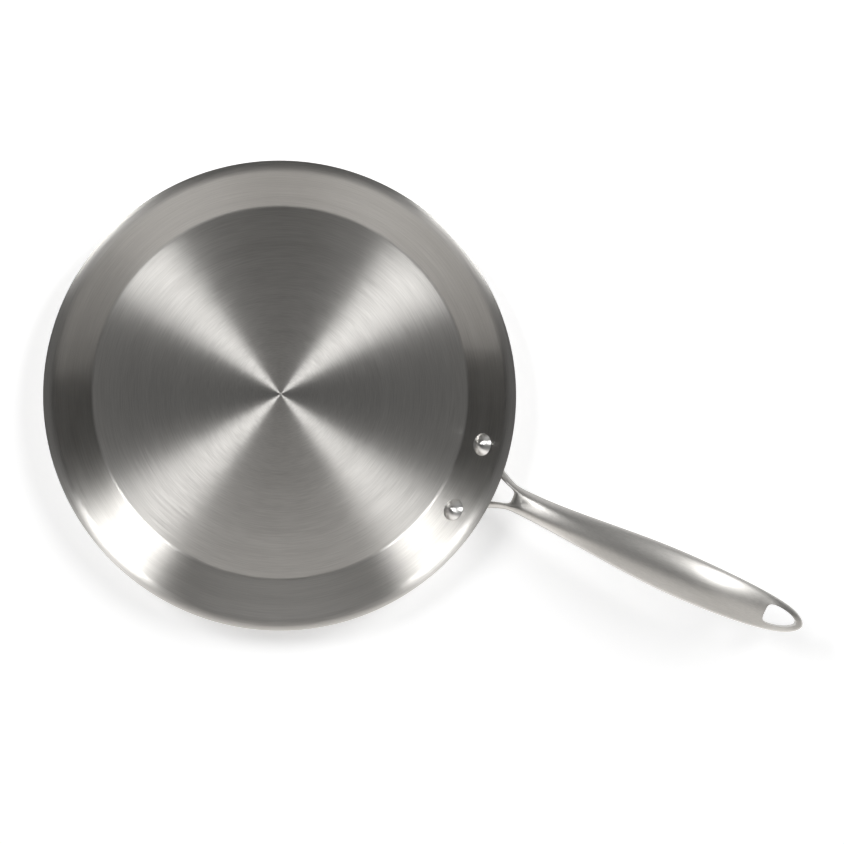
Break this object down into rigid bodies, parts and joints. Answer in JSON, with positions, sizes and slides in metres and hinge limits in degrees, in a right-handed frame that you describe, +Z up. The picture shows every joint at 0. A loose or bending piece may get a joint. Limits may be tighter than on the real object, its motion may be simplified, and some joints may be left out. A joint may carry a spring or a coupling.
{
  "type": "crepe pan",
  "caption": "Shallow round crepe pan with a flat brushed floor, sloping wall, flared rim and a riveted, forked, arched handle with a hanging hole.",
  "frame": {"origin": "centre of the underside of the base, where the pan stands on a hob", "axes": "+X along the handle, from the pan's centre to the hanging hole; +Z up, out of the open side; the XZ plane is the plane of symmetry"},
  "size_m": [0.446, 0.26, 0.0518],
  "materials": {
    "brushed_steel_inside": "circular brushed stainless steel",
    "aluminium_core": "plain aluminium, seen only as a line in the rim's edge",
    "brushed_steel_outside": "circular brushed stainless steel",
    "satin_steel_handle": "satin cast stainless steel",
    "polished_steel_rivet": "polished stainless steel"
  },
  "bodies": {
    "root": {"inner_steel_ply": "brushed_steel_inside", "aluminium_core_ply": "aluminium_core", "outer_steel_ply": "brushed_steel_outside", "handle": "satin_steel_handle", "rivet_left": "polished_steel_rivet", "rivet_right": "polished_steel_rivet"}
  },
  "joints": []
}
